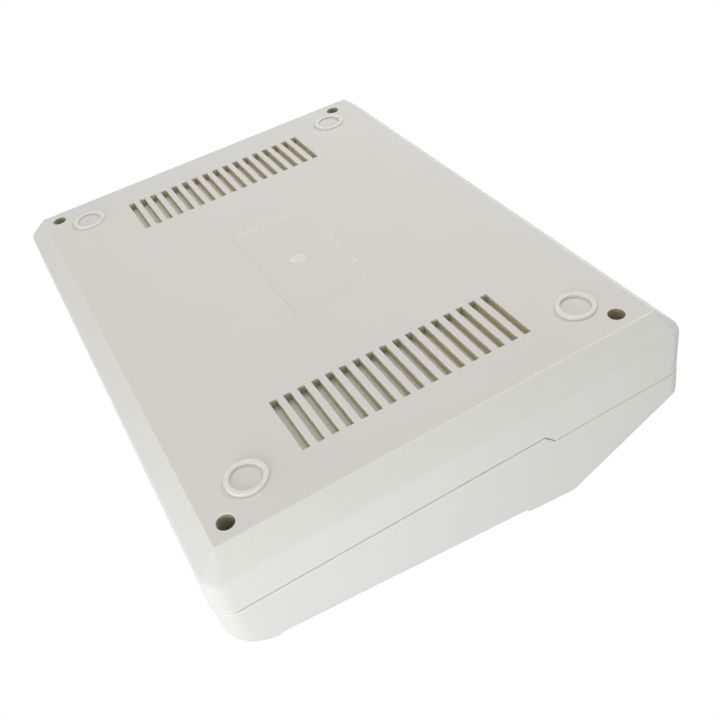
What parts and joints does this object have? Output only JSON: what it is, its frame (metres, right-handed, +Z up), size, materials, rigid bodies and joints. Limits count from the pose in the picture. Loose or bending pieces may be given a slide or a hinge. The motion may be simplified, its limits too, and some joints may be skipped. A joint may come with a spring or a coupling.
{
  "type": "desktop instrument case",
  "caption": "Two-part moulded desktop case: a bevelled base tub with blind vent slots, foot rings and deep screw holes, under a cover with a sloping operator panel.",
  "frame": {"origin": "middle of the case's outline, in the plane of the foot ring rims that it stands on", "axes": "+Z up through the cover, +X across the case to the right as the operator sees it, +Y towards the rear"},
  "size_m": [0.226, 0.1687, 0.0596],
  "materials": {
    "case_plastic": "warm pale grey moulded plastic with a fine satin spark texture",
    "screw_steel": "bright zinc plate"
  },
  "bodies": {
    "root": {"base_shell": "case_plastic", "top_cover": "case_plastic", "case_screws": "screw_steel"}
  },
  "joints": []
}
